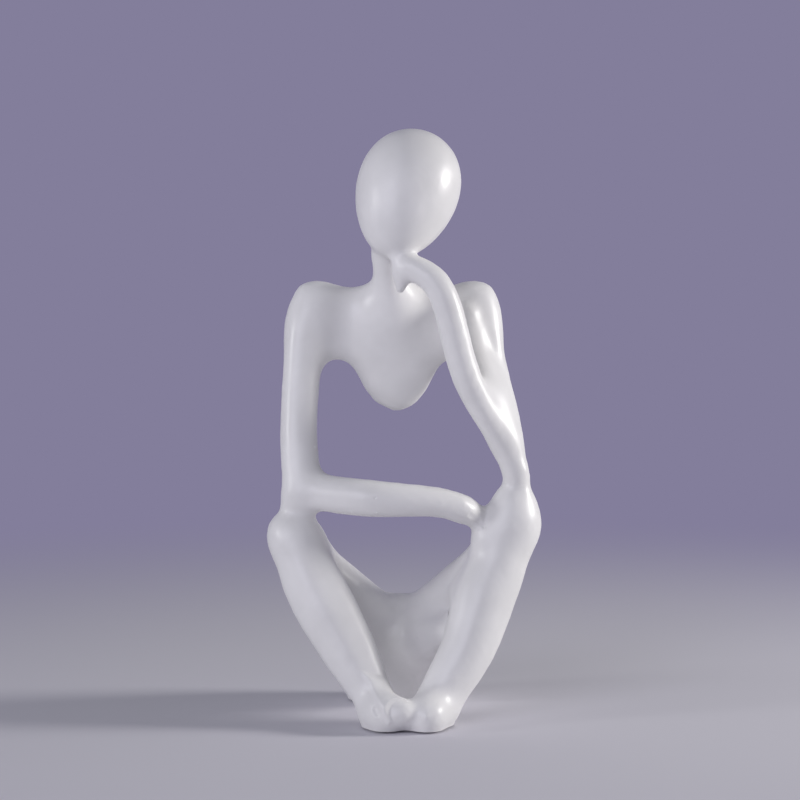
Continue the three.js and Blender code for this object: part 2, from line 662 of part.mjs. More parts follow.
// Castings as plain skins, before any fitting
const torsoForm = blend(
  SHOULDER_FILLET,
  blend(NECK_FILLET, blend(BODY_FILLET, yokeForm, chestForm), neckForm),
  limb(rightUpperArm, { end: RIGHT_ARM_BOND + LAP_MARGIN }),
  limb(leftUpperArm, { end: LEFT_ARM_BOND + LAP_MARGIN }),
);
const rightArmForm = blend(
  LIMB_FILLET,
  limb(rightUpperArm, { start: RIGHT_ARM_BOND - LAP_MARGIN }),
  rightForearm,
);
const leftArmForm = blend(
  POST_FILLET,
  blend(CROOK_FILLET, limb(leftUpperArm, { start: LEFT_ARM_BOND - LAP_MARGIN }), leftForearm, crookWeb),
  limb(leftPost, { start: POST_BOND - LAP_MARGIN }),
);
const lapWeb = limb([
  [shifted(leftSeat, ...LAP_WEB_ROOT_REACH), LAP_WEB_ROOT_WIDTH],
  [shifted(between(leftKnee, leftAnkle, 0.64), ...LAP_WEB_EDGE_REACH), LAP_WEB_EDGE_WIDTH],
]);
const seatForm = blend(
  BODY_FILLET,
  limb(thighs, { start: THIGH_BOND - LAP_MARGIN, end: 1 - THIGH_BOND + LAP_MARGIN }),
  lapWeb,
);
const rightLegForm = blend(
  LIMB_FILLET,
  limb(thighs, { end: THIGH_BOND + LAP_MARGIN }),
  rightShin,
  rightFoot,
  rightToes,
);
const leftLegForm = blend(
  LIMB_FILLET,
  limb(thighs, { start: 1 - THIGH_BOND - LAP_MARGIN }),
  leftShin,
  leftFoot,
  ankleWeb,
  handRest,
  kneeWeb,
  limb(leftPost, { end: POST_BOND + LAP_MARGIN }),
);

const forms = {
  head: headForm,
  torso: torsoForm,
  right_arm: rightArmForm,
  left_arm: leftArmForm,
  seat: seatForm,
  right_leg: rightLegForm,
  left_leg: leftLegForm,
};
const facets = { head: FACET, right_arm: FINE_FACET, left_arm: HAND_FACET, seat: COARSE_FACET };
const table = slab(-TABLE_THICKNESS, PAD_THICKNESS);
const solids = {};
for (const [name, form] of Object.entries(forms)) {
  solids[name] = skin(form, facets[name] ?? FACET).subtract(table);
}

// Bond faces: plane cuts across the limbs, and seats worn into one casting by the form it rests on
solids.torso = solids.torso.subtract(pastBond(rightArmBond, 1)).subtract(pastBond(leftArmBond, 1));
solids.right_arm = solids.right_arm.subtract(pastBond(rightArmBond, -1));
solids.left_arm = solids.left_arm.subtract(pastBond(leftArmBond, -1)).subtract(pastBond(leftPostBond, -1));
solids.right_leg = solids.right_leg.subtract(pastBond(rightThighBond, 1));
solids.seat = solids.seat.subtract(pastBond(rightThighBond, -1)).subtract(pastBond(leftThighBond, 1));
solids.left_leg = solids.left_leg.subtract(pastBond(leftThighBond, -1)).subtract(pastBond(leftPostBond, 1));
function seatOn(name, form) {
  const near = forms[name].box.clone().intersect(form.box).expandByScalar(2 * FIT_FACET);
  solids[name] = solids[name].subtract(skin(clipped(grown(form, BOND_GAP), near), FIT_FACET));
}
seatOn("torso", headForm);
seatOn("left_arm", headForm);
seatOn("left_arm", blend(NECK_FILLET, yokeForm, neckForm));
seatOn("right_arm", rightLegForm);
seatOn("right_arm", leftLegForm);
seatOn("left_leg", rightLegForm);
seatOn("seat", blend(BODY_FILLET, leftShin, kneeWeb));

// Pins: steel rods across the bonds, each in a blind socket in both castings
const contact = (from, radius, to) => {
  const facing = to.clone().sub(from).normalize();
  return { at: from.clone().addScaledVector(facing, radius), facing };
};
const rightToe = shifted(rightAnkle, ...RIGHT_TOE_REACH);
const leftForefoot = shifted(leftAnkle, ...LEFT_FOREFOOT_REACH);
const pins = {
  neck_pin: { ...contact(neckTop, 0, headCentre), in: ["torso", "head"] },
  right_arm_pin: { ...rightArmBond, in: ["torso", "right_arm"] },
  left_arm_pin: { ...leftArmBond, in: ["torso", "left_arm"] },
  right_elbow_pin: { ...contact(rightKnee, KNEE_WIDTH / 2, rightElbow), in: ["right_leg", "right_arm"] },
  right_thigh_pin: { ...rightThighBond, in: ["right_leg", "seat"] },
  left_thigh_pin: { ...leftThighBond, in: ["left_leg", "seat"] },
};
const smallPins = {
  chin_pin: { ...contact(leftKnuckles, HAND_WIDTH / 2, headCentre), in: ["left_arm", "head"] },
  left_elbow_pin: { ...leftPostBond, in: ["left_leg", "left_arm"] },
  right_hand_pin: {
    ...contact(rightFingertips, RIGHT_FINGERS_WIDTH / 2, leftKnee),
    in: ["right_arm", "left_leg"],
  },
  toe_pin: { ...contact(rightToe, TOE_WIDTH / 2, leftForefoot), in: ["right_leg", "left_leg"] },
};

const finishes = {
  casting: { color: 0xf2f1ee, roughness: 0.5, metalness: 0 },
  pin: { color: 0xb9bcc0, roughness: 0.35, metalness: 1 },
  pad: { color: 0x4a4038, roughness: 0.95, metalness: 0 },
};

const group = new THREE.Group();
group.name = "seated_figure";

function addNode(name, solid, finish) {
  const geometry = welded(solid.getMesh(), SHORTEST_EDGE);
  geometry.computeVertexNormals();
  const mesh = new THREE.Mesh(geometry, new THREE.MeshStandardMaterial(finishes[finish]));
  mesh.name = name;
  group.add(mesh);
}

function addPin(name, pin, length, diameter) {
  const socketLength = length + 2 * PIN_CLEARANCE;
  const socketFrom = pin.at.clone().addScaledVector(pin.facing, -socketLength / 2);
  const socket = bar(socketFrom, pin.facing, socketLength, diameter + 2 * PIN_CLEARANCE);
  for (const casting of pin.in) {
    solids[casting] = solids[casting].subtract(socket);
  }
  const from = pin.at.clone().addScaledVector(pin.facing, -length / 2);
  addNode(name, bar(from, pin.facing, length, diameter), "pin");
}

for (const [name, pin] of Object.entries(pins)) {
  addPin(name, pin, PIN_LENGTH, PIN_DIAMETER);
}
for (const [name, pin] of Object.entries(smallPins)) {
  addPin(name, pin, SMALL_PIN_LENGTH, SMALL_PIN_DIAMETER);
}
for (const [name, solid] of Object.entries(solids)) {
  addNode(name, solid, "casting");
}

// Felt pads: the footprint of each standing casting, drawn in from its edge
const padSlab = slab(0, PAD_THICKNESS);
const pads = { seat_pad: seatForm, right_foot_pad: rightLegForm, left_foot_pad: leftLegForm };
for (const [name, form] of Object.entries(pads)) {
  addNode(name, skin(grown(form, -PAD_INSET), FACET).intersect(padSlab), "pad");
}

// The origin is the middle of the whole figure in plan, on the table
const middle = new THREE.Box3().setFromObject(group).getCenter(point(0, 0, 0));
group.position.set(-middle.x, -middle.y, 0);

export default group;
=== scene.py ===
"""Looks of the seated figure ornament: white painted resin castings on steel pins and felt pads."""

import math

import bmesh
import bpy
import numpy as np
from mathutils import Matrix, Vector, geometry, kdtree, noise
from mathutils.bvhtree import BVHTree


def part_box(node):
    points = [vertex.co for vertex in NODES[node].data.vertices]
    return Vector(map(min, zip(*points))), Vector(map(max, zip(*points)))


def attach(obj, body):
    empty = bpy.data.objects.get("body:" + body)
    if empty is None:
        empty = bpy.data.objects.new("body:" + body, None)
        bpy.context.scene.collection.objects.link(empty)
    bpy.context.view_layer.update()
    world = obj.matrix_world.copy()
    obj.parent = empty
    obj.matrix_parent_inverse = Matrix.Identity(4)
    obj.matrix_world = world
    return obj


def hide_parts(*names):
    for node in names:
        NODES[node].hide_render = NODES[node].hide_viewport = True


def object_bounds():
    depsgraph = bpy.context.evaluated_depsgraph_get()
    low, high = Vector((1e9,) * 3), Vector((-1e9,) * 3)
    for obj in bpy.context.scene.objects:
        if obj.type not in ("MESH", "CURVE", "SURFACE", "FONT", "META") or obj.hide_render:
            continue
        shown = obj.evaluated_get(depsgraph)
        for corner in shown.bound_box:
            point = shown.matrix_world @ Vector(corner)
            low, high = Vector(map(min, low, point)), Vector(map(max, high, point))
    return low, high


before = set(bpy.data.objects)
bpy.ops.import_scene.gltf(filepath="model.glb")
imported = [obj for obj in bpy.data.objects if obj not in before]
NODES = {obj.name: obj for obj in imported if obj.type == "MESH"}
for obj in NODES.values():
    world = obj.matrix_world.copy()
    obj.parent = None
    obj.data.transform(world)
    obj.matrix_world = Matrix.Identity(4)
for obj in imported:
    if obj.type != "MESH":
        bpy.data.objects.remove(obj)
cad_box = [list(corner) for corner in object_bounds()]

MM = 0.001
FAR = 1.0

# Pieces of the figure, by their names in the frame
PINS = [name for name in NODES if name.endswith("_pin")]
PADS = [name for name in NODES if name.endswith("_pad")]
CASTINGS = [name for name in NODES if name not in PINS + PADS]

# Filling and rubbing down of the bonded castings
WELD = 0.001 * MM
FILLER = 0.25 * MM
GRAIN = 1.1 * MM
RUB_WIDTH = 2.0 * MM
WIDE_RUB_WIDTH = 4.5 * MM
CREASE_WIDTH = 3.0 * MM
CREASE_REACH = 3.0 * MM
CREASE_FADE_ROUNDS = 4
FOOT_SPARE = 5 * MM
SOLE_FACING = -0.99
BASE_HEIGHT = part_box("seat")[0].z
BOND_REACH = 3 * MM
BOND_LINE_MARGIN = 0.1

# Filler in the crook of the left arm, laid on as overlapping balls along a line given in millimetres
CROOK_LINE = [(27.5, 3.5, 176), (28.5, 1.5, 168), (31, -1.0, 158), (34.5, -4.0, 149)]
CROOK_WIDTH = 13 * MM
CROOK_STEP = 0.2
CROOK_BALL_DETAIL = 2

# Marks of the mould and of the finishing hand: pixels of the photograph they run along, width, height
PHOTO_PIXELS = 800
MARK_STEP = 2
FINE_MARK = 2.5 * MM
FINE_MARK_CUTS = 3
MARKS = [
    ("knuckle", [(464, 503), (471, 511)], 4.5 * MM, 0.4 * MM),
    ("finger crease", [(470, 515), (477, 520), (484, 526)], 1.6 * MM, -0.25 * MM),
    ("fingertip crease", [(486, 512), (485, 520), (484, 527)], 1.6 * MM, -0.25 * MM),
    ("ankle pit", [(375, 709), (377, 714)], 2.0 * MM, -0.8 * MM),
    ("air bubble in the forearm", [(375, 498)], 0.7 * MM, -0.35 * MM),
    ("air bubble in the upper arm", [(284, 450)], 0.6 * MM, -0.3 * MM),
    ("paint nib on the lap", [(418, 637)], 0.8 * MM, 0.3 * MM),
    ("flash on the forearm", [(377, 513)], 0.9 * MM, 0.35 * MM),
    ("flash near the elbow", [(352, 512)], 0.7 * MM, 0.3 * MM),
    ("flash on the upper arm", [(315, 447)], 0.8 * MM, 0.35 * MM),
]

# Places rubbed down further, so that one casting runs into the next: pixels of the photograph, reach
WIDE_RUBS = [
    ("under the chin", [(394, 262), (393, 285)], 7 * MM),
    ("crook of the left arm", [(478, 335), (487, 360), (490, 380)], 12 * MM),
    ("web to the left shin", [(462, 570), (450, 600), (445, 640)], 12 * MM),
    ("left shin", [(506, 545), (498, 580), (482, 625), (468, 665)], 10 * MM),
    ("right shin", [(297, 565), (318, 605), (340, 645)], 9 * MM),
]

# Toe built up to a flat: its corners in the photograph, clockwise, and three points of it in millimetres
TOE_CORNERS = [(364, 674), (396, 682), (420, 697), (416, 716), (389, 723), (378, 704)]
TOE_PLANE = [(-10.1, -45.0, 14.1), (-6.4, -45.4, 5.7), (1.1, -40.5, 12.2)]
TOE_RISE = 1.8 * MM
TOE_CUTS = 1
TOE_EDGE_PIXELS = 7
TOE_REACH = 20 * MM

# Felt pads
PAD_POINTS = 160
PAD_OUTLINE_ROUNDS = 8
PAD_RINGS = 24
PAD_RIM = 0.3 * MM
PAD_RIM_POINTS = 5
FIBRE_WIDTH = 0.5 * MM
FIBRE_HEIGHT = 0.06 * MM

# Patterns in the finishes
PAINT_PATCH = 22 * MM
PAINT_STIPPLE = 0.9 * MM
PAINT_STIPPLE_DEPTH = 0.02 * MM
GRINDING_MARK = 0.3 * MM
GRINDING_MARK_DEPTH = 0.01 * MM
FIBRE_DEPTH = 0.15 * MM

# Camera, looking down a little: degrees below level, lens and sensor in millimetres
CAMERA_PLACE = Vector((-1.802 * MM, -919.528 * MM, 200 * MM))
CAMERA_DROP = 3.807
CAMERA_LENS = 94.68
SENSOR_WIDTH = 36
DROP_ANGLE = math.radians(CAMERA_DROP)
CAMERA_AHEAD = Vector((0, math.cos(DROP_ANGLE), -math.sin(DROP_ANGLE)))
CAMERA_UPWARD = Vector((0, math.sin(DROP_ANGLE), math.cos(DROP_ANGLE)))

# Stage and lamps
BACKDROP = "837E9B"
LAMP_TARGET = (0, 0, 0.13)
STAGE_RADIUS = 6.0
STAGE_POINTS = 64
STAGE_FADE_START = 0.12
STAGE_FADE_END = 0.75


def paint(hex_colour):
    """Linear colour, with alpha, of an sRGB hex value."""
    values = [int(hex_colour[i:i + 2], 16) / 255 for i in (0, 2, 4)]
    linear = [v / 12.92 if v <= 0.04045 else ((v + 0.055) / 1.055) ** 2.4 for v in values]
    return (*linear, 1.0)


def add_node(tree, kind, inputs=None, **settings):
    """Adds a node with its settings; an input is a plain value, or an output to link from."""
    node = tree.nodes.new(kind)
    for name, value in settings.items():
        setattr(node, name, value)
    for name, value in (inputs or {}).items():
        if isinstance(value, bpy.types.NodeSocket):
            tree.links.new(value, node.inputs[name])
        else:
            node.inputs[name].default_value = value
    return node


def empty_material(name):
    material = bpy.data.materials.new(name)
    material.use_nodes = True
    material.node_tree.nodes.clear()
    return material, material.node_tree


def per_metre(size):
    """Noise scale whose features are of a size in metres."""
    return 1 / size


def sprayed_resin():
    """Cast resin, sprayed with white acrylic: a satin skin, faintly stippled, thicker in patches."""
    material, tree = empty_material("cast_resin_sprayed_white")
    place = add_node(tree, "ShaderNodeTexCoord").outputs["Object"]
    blotches = add_node(tree, "ShaderNodeTexNoise", {
        "Vector": place, "Scale": per_metre(PAINT_PATCH), "Detail": 3,
    })
    stipple = add_node(tree, "ShaderNodeTexNoise", {
        "Vector": place, "Scale": per_metre(PAINT_STIPPLE), "Detail": 2,
    })
    colour = add_node(tree, "ShaderNodeValToRGB", {"Fac": blotches.outputs["Fac"]})
    for stop, position, tone in zip(colour.color_ramp.elements, (0.35, 0.65), ("ECEBEA", "F4F3F2")):
        stop.position = position
        stop.color = paint(tone)
    sheen = add_node(tree, "ShaderNodeMapRange", {
        "Value": blotches.outputs["Fac"],
        "From Min": 0.3,
        "From Max": 0.7,
        "To Min": 0.32,
        "To Max": 0.40,
    })
    relief = add_node(tree, "ShaderNodeBump", {
        "Height": stipple.outputs["Fac"], "Strength": 0.25, "Distance": PAINT_STIPPLE_DEPTH,
    })
    skin = add_node(tree, "ShaderNodeBsdfPrincipled", {
        "Base Color": colour.outputs["Color"],
        "Roughness": sheen.outputs["Result"],
        "Normal": relief.outputs["Normal"],
        "IOR": 1.49,
    })
    add_node(tree, "ShaderNodeOutputMaterial", {"Surface": skin.outputs["BSDF"]})
    return material


def ground_steel():
    """Ground steel rod: grey, with a grain of grinding marks, drawn coarse enough to show."""
    material, tree = empty_material("steel_rod_ground")
    place = add_node(tree, "ShaderNodeTexCoord").outputs["Object"]
    marks = add_node(tree, "ShaderNodeTexNoise", {
        "Vector": place, "Scale": per_metre(GRINDING_MARK), "Detail": 4,
    })
    sheen = add_node(tree, "ShaderNodeMapRange", {
        "Value": marks.outputs["Fac"], "To Min": 0.25, "To Max": 0.45,
    })
    relief = add_node(tree, "ShaderNodeBump", {
        "Height": marks.outputs["Fac"], "Strength": 0.3, "Distance": GRINDING_MARK_DEPTH,
    })
    rod = add_node(tree, "ShaderNodeBsdfPrincipled", {
        "Base Color": paint("B9BCC0"),
        "Metallic": 1.0,
        "Roughness": sheen.outputs["Result"],
        "Normal": relief.outputs["Normal"],
    })
    add_node(tree, "ShaderNodeOutputMaterial", {"Surface": rod.outputs["BSDF"]})
    return material


def felt_with_painted_shade():
    """Pressed wool felt: matt, softly haloed, and drawn in tufts, as fibres are too fine to show. Its dark
    brown is partly painted shade for the contact shadow under the feet.
    """
    material, tree = empty_material("wool_felt_brown_painted_shade")
    place = add_node(tree, "ShaderNodeTexCoord").outputs["Object"]
    fibres = add_node(tree, "ShaderNodeTexNoise", {
        "Vector": place, "Scale": per_metre(FIBRE_WIDTH), "Detail": 6, "Distortion": 1.5,
    })
    # Dark brown of the felt, kept this dark partly as painted shade: it gives the dark contact line under
    # the feet
    colour = add_node(tree, "ShaderNodeValToRGB", {"Fac": fibres.outputs["Fac"]})
    for stop, position, tone in zip(colour.color_ramp.elements, (0.35, 0.68), ("3A322B", "5E5348")):
        stop.position = position
        stop.color = paint(tone)
    relief = add_node(tree, "ShaderNodeBump", {
        "Height": fibres.outputs["Fac"], "Strength": 0.8, "Distance": FIBRE_DEPTH,
    })
    felt = add_node(tree, "ShaderNodeBsdfPrincipled", {
        "Base Color": colour.outputs["Color"],
        "Roughness": 0.95,
        "Sheen Weight": 0.4,
        "Sheen Roughness": 0.6,
        "Normal": relief.outputs["Normal"],
    })
    add_node(tree, "ShaderNodeOutputMaterial", {"Surface": felt.outputs["BSDF"]})
    return material


def faded(gap, reach):
    """1 where there is no gap, falling smoothly to 0 at the reach."""
    return (1 - (gap / reach) ** 2) ** 2


def sight(pixel):
    """Direction from the camera through a pixel of the photograph."""
    ahead = CAMERA_AHEAD * (CAMERA_LENS / SENSOR_WIDTH)
    across = Vector((1, 0, 0)) * (pixel[0] / PHOTO_PIXELS - 0.5)
    upward = CAMERA_UPWARD * (0.5 - pixel[1] / PHOTO_PIXELS)
    return (ahead + across + upward).normalized()


def pixel_of(place):
    """Pixel of the photograph in which a point shows."""
    to_place = place - CAMERA_PLACE
    depth = to_place.dot(CAMERA_AHEAD) * SENSOR_WIDTH / CAMERA_LENS
    height = to_place.dot(CAMERA_UPWARD)
    return PHOTO_PIXELS * (0.5 + to_place.x / depth), PHOTO_PIXELS * (0.5 - height / depth)


def stroke(pixels):
    """Pixels along a run of pixels, close enough together to leave no gaps."""
    run = [pixels[0]]
    for start, end in zip(pixels, pixels[1:]):
        steps = math.ceil(math.dist(start, end) / MARK_STEP)
        for i in range(1, steps + 1):
            run.append([a + (b - a) * i / steps for a, b in zip(start, end)])
    return run


def corner_tree(shell):
    """Search tree of the shell's vertices, once they are numbered anew."""
    shell.verts.index_update()
    shell.verts.ensure_lookup_table()
    shell.normal_update()
    corners = kdtree.KDTree(len(shell.verts))
    for vert in shell.verts:
        corners.insert(vert.co, vert.index)
    corners.balance()
    return corners


def swollen(name, feet):
    """Mesh of a frame node, closed, grown by the filler and with spare length under its feet."""
    grown = bmesh.new()
    grown.from_mesh(NODES[name].data)
    bmesh.ops.remove_doubles(grown, verts=grown.verts, dist=WELD)
    grown.normal_update()
    if feet:
        soles = [f for f in grown.faces
                 if f.normal.z < SOLE_FACING and f.calc_center_median().z < BASE_HEIGHT + FILLER]
        lower = bmesh.ops.extrude_face_region(grown, geom=soles)["geom"]
        bmesh.ops.delete(grown, geom=soles, context="FACES")
        for vert in (v for v in lower if isinstance(v, bmesh.types.BMVert)):
            vert.co.z -= FOOT_SPARE
        grown.normal_update()
    for vert in grown.verts:
        vert.co += vert.normal * FILLER
    mesh = bpy.data.meshes.new(name + "_grown")
    grown.to_mesh(mesh)
    grown.free()
    return mesh


def fill_crook(joined):
    """Adds the filler that broadens the left upper arm towards the forearm, as overlapping balls."""
    for start, end in zip(CROOK_LINE, CROOK_LINE[1:]):
        for share in np.arange(0, 1, CROOK_STEP):
            place = Vector(start).lerp(Vector(end), share) * MM
            bmesh.ops.create_icosphere(
                joined,
                subdivisions=CROOK_BALL_DETAIL,
                radius=CROOK_WIDTH / 2,
                matrix=Matrix.Translation(place),
            )


def one_skin():
    """One closed skin over all the castings, as they look once they are bonded and filled."""
    joined = bmesh.new()
    for name in CASTINGS + PINS:
        mesh = swollen(name, feet=name in CASTINGS)
        joined.from_mesh(mesh)
        bpy.data.meshes.remove(mesh)
    fill_crook(joined)
    mesh = bpy.data.meshes.new("blank")
    joined.to_mesh(mesh)
    joined.free()
    blank = bpy.data.objects.new("blank", mesh)
    bpy.context.collection.objects.link(blank)
    wrap = blank.modifiers.new("wrap", "REMESH")
    wrap.mode = "VOXEL"
    wrap.voxel_size = GRAIN
    wrapped = bpy.data.meshes.new_from_object(blank.evaluated_get(bpy.context.evaluated_depsgraph_get()))
    bpy.data.objects.remove(blank)
    bpy.data.meshes.remove(mesh)
    return wrapped


def patches(shell, owner):
    """The connected patches of vertices with one owner, largest first."""
    unseen = set(shell.verts)
    found = []
    while unseen:
        start = unseen.pop()
        patch = {start}
        to_visit = [start]
        while to_visit:
            vert = to_visit.pop()
            for edge in vert.link_edges:
                other = edge.other_vert(vert)
                if other in unseen and owner[other.index] == owner[start.index]:
                    unseen.remove(other)
                    patch.add(other)
                    to_visit.append(other)
        found.append(patch)
    return sorted(found, key=len, reverse=True)


def outer_shell(mesh):
    """bmesh of the largest connected shell of a mesh, in triangles."""
    shell = bmesh.new()
    shell.from_mesh(mesh)
    shell.verts.index_update()
    largest = patches(shell, np.zeros(len(shell.verts)))[0]
    bmesh.ops.delete(shell, geom=[v for v in shell.verts if v not in largest], context="VERTS")
    bmesh.ops.triangulate(shell, faces=shell.faces)
    return shell


def nearest_castings(shell):
    """For each vertex of the shell, its distance to every casting that is near."""
    trees = {}
    for name in CASTINGS:
        mesh = NODES[name].data
        corners = [v.co for v in mesh.vertices]
        trees[name] = (BVHTree.FromPolygons(corners, [p.vertices for p in mesh.polygons]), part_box(name))
    gaps = np.full((len(shell.verts), len(CASTINGS)), FAR)
    for vert in shell.verts:
        place = vert.co.copy()
        place.z = max(place.z, BASE_HEIGHT)
        for i, name in enumerate(CASTINGS):
            tree, (low, high) = trees[name]
            if all(low[k] - BOND_REACH < place[k] < high[k] + BOND_REACH for k in range(3)):
                gaps[vert.index, i] = tree.find_nearest(place)[3]
    return gaps


def note_gaps(shell):
    """Notes the distances to the castings on the vertices, where later work on the shell keeps them."""
    for name, column in zip(CASTINGS, nearest_castings(shell).T):
        note = shell.verts.layers.float.new(name)
        for vert in shell.verts:
            vert[note] = column[vert.index]


def noted_gaps(shell):
    """The distances noted on the vertices, one row for each."""
    notes = [shell.verts.layers.float[name] for name in CASTINGS]
    return np.array([[vert[note] for note in notes] for vert in shell.verts])


def averaged(values, edges, rounds):
    """Values at points, each averaged with its neighbours' a number of times."""
    count = np.bincount(edges.ravel(), minlength=len(values))[:, None]
    for _ in range(rounds):
        total = np.zeros_like(values)
        for axis in range(values.shape[1]):
            total[:, axis] = (
                np.bincount(edges[:, 0], values[edges[:, 1], axis], len(values))
                + np.bincount(edges[:, 1], values[edges[:, 0], axis], len(values))
            )
        values = 0.5 * values + 0.5 * total / count
    return values


def rounds_over(width):
    """Rounds of averaging that smooth over a width, counted in edges."""
    return round(4 * width ** 2)


def levelled(points, edges, width):
    """Points smoothed over a width, counted in edges, then let out again by what the smoothing took."""
    rounds = rounds_over(width)
    smooth = averaged(points, edges, rounds)
    return smooth + averaged(points - smooth, edges, rounds)


def wide_rub_shares(shell):
    """How far each vertex of the shell is rubbed down further, from 0 to 1."""
    tree = BVHTree.FromBMesh(shell)
    corners = corner_tree(shell)
    shares = np.zeros((len(shell.verts), 1))
    for _, pixels, reach in WIDE_RUBS:
        for pixel in stroke(pixels):
            place = tree.ray_cast(CAMERA_PLACE, sight(pixel))[0]
            for _, index, gap in corners.find_range(place, reach):
                shares[index] = max(shares[index], faded(gap, reach))
    return shares


def move(shell, places):
    """Puts each vertex of the shell at its new place."""
    for vert, place in zip(shell.verts, places):
        vert.co = place
    shell.normal_update()


def rubbed_down(shell):
    """Fills the creases between castings, then rubs the shell smooth, and some places further."""
    shell.verts.index_update()
    shell.normal_update()
    normals = np.array([v.normal for v in shell.verts])
    points = np.array([v.co for v in shell.verts]) - normals * FILLER
    edges = np.array([[v.index for v in e.verts] for e in shell.edges])
    step = np.linalg.norm(points[edges[:, 0]] - points[edges[:, 1]], axis=1).mean()
    second_gap = np.sort(nearest_castings(shell), axis=1)[:, 1]
    # Filled in full up to half the reach from a second casting, and not at all past the reach
    near_bond = np.clip(2 - 2 * second_gap / CREASE_REACH, 0, 1)[:, None]
    at_bond = averaged(near_bond, edges, CREASE_FADE_ROUNDS)
    level = averaged(points, edges, rounds_over(CREASE_WIDTH / step))
    rise = np.maximum(((level - points) * normals).sum(axis=1), 0)[:, None]
    points = points + normals * rise * at_bond
    smooth = levelled(points, edges, RUB_WIDTH / step)
    move(shell, smooth)
    note_gaps(shell)
    wide = levelled(smooth, edges, WIDE_RUB_WIDTH / step)
    smooth = smooth + (wide - smooth) * wide_rub_shares(shell)
    move(shell, np.clip(smooth, [*cad_box[0][:2], -FAR], cad_box[1]))


def inside_toe(pixel):
    """1 within the toe's corners in the photograph, falling to 0 across their edges."""
    margins = []
    for (ax, ay), (bx, by) in zip(TOE_CORNERS, TOE_CORNERS[1:] + TOE_CORNERS[:1]):
        across = (bx - ax) * (pixel[1] - ay) - (by - ay) * (pixel[0] - ax)
        margins.append(across / math.hypot(bx - ax, by - ay))
    share = min(max(min(margins) / TOE_EDGE_PIXELS + 0.5, 0), 1)
    return share * share * (3 - 2 * share)


def flattened_toe(shell):
    """Builds the right toe up towards the flat that faces the key light in the photograph."""
    corners = [Vector(corner) * MM for corner in TOE_PLANE]
    facing = (corners[1] - corners[0]).cross(corners[2] - corners[0]).normalized()
    near = [v for v in shell.verts if (v.co - corners[0]).length < TOE_REACH]
    edges = {e for v in near if inside_toe(pixel_of(v.co)) > 0 for e in v.link_edges}
    bmesh.ops.subdivide_edges(shell, edges=list(edges), cuts=TOE_CUTS, use_grid_fill=True)
    bmesh.ops.triangulate(shell, faces=[f for f in shell.faces if len(f.verts) > 3])
    shell.normal_update()
    own_gap, other_gap = [shell.verts.layers.float[name] for name in ("right_leg", "left_leg")]
    for vert in shell.verts:
        if (vert.co - corners[0]).length < TOE_REACH and vert.normal.y < 0:
            along = (vert.co - CAMERA_PLACE).normalized()
            behind = (vert.co - corners[0]).dot(facing) / along.dot(facing)
            own_share = min(max((vert[other_gap] - vert[own_gap]) / TOE_RISE, 0), 1)
            rise = min(max(behind, 0), TOE_RISE) * inside_toe(pixel_of(vert.co)) * own_share
            vert.co -= along * rise
    shell.normal_update()


def worked(shell):
    """Sinks and raises the marks in the rubbed skin, with finer triangles under the small ones."""
    tree = BVHTree.FromBMesh(shell)
    places = {
        name: [tree.ray_cast(CAMERA_PLACE, sight(pixel))[:2] for pixel in stroke(pixels)]
        for name, pixels, _, _ in MARKS
    }
    corners = corner_tree(shell)
    fine = set()
    for name, _, width, _ in MARKS:
        if width < FINE_MARK:
            for place, _ in places[name]:
                for _, index, _ in corners.find_range(place, width + GRAIN):
                    fine.update(shell.verts[index].link_edges)
    bmesh.ops.subdivide_edges(shell, edges=list(fine), cuts=FINE_MARK_CUTS, use_grid_fill=True)
    bmesh.ops.triangulate(shell, faces=[f for f in shell.faces if len(f.verts) > 3])
    corners = corner_tree(shell)
    for name, _, width, height in MARKS:
        nearest = {}
        for place, facing in places[name]:
            for _, index, gap in corners.find_range(place, width):
                if shell.verts[index].normal.dot(facing) > 0:
                    nearest[index] = min(gap, nearest.get(index, width))
        for index, gap in nearest.items():
            vert = shell.verts[index]
            vert.co += vert.normal * height * faded(gap, width)
    shell.normal_update()


def settled_owners(shell, owner):
    """Gives stray patches to the casting round them, so that each casting keeps one skin."""
    claimed = set()
    for patch in patches(shell, owner):
        mine = owner[next(iter(patch)).index]
        if mine not in claimed:
            claimed.add(mine)
            continue
        around = [edge.other_vert(v) for v in patch for edge in v.link_edges]
        theirs = np.bincount([owner[v.index] for v in around if v not in patch]).argmax()
        owner[[v.index for v in patch]] = theirs
    return owner


def split_at_bonds(shell):
    """Cuts the shell between castings, and gives its points, normals, triangles and their owners."""
    gaps = noted_gaps(shell)
    owner = settled_owners(shell, gaps.argmin(axis=1))
    on_line = []
    for edge in list(shell.edges):
        a, b = edge.verts
        mine, theirs = owner[a.index], owner[b.index]
        if mine != theirs:
            lean_a = gaps[a.index, mine] - gaps[a.index, theirs]
            lean_b = gaps[b.index, mine] - gaps[b.index, theirs]
            share = lean_a / (lean_a - lean_b) if lean_a != lean_b else 0.5
            share = min(max(share, BOND_LINE_MARGIN), 1 - BOND_LINE_MARGIN)
            on_line.append((edge, a, share))
    border = [bmesh.utils.edge_split(edge, a, share)[1] for edge, a, share in on_line]
    bmesh.ops.connect_verts(shell, verts=border)
    bmesh.ops.triangulate(shell, faces=[f for f in shell.faces if len(f.verts) > 3])
    first_border = len(owner)
    shell.verts.index_update()
    shell.normal_update()
    points = np.array([v.co for v in shell.verts])
    normals = np.array([v.normal for v in shell.verts])
    triangles = np.array([[v.index for v in f.verts] for f in shell.faces])
    owner = np.concatenate([owner, np.full(len(points) - first_border, -1)])
    return points, normals, triangles, owner[triangles].max(axis=1)


def open_loops(piece):
    """The closed loops of edges that bound the holes of a mesh."""
    left = {e for e in piece.edges if e.is_boundary}
    loops = []
    while left:
        edge = left.pop()
        loop = [edge]
        vert = edge.verts[1]
        while True:
            following = next((e for e in vert.link_edges if e in left), None)
            if following is None:
                break
            left.remove(following)
            loop.append(following)
            vert = following.other_vert(vert)
        loops.append(loop)
    return loops


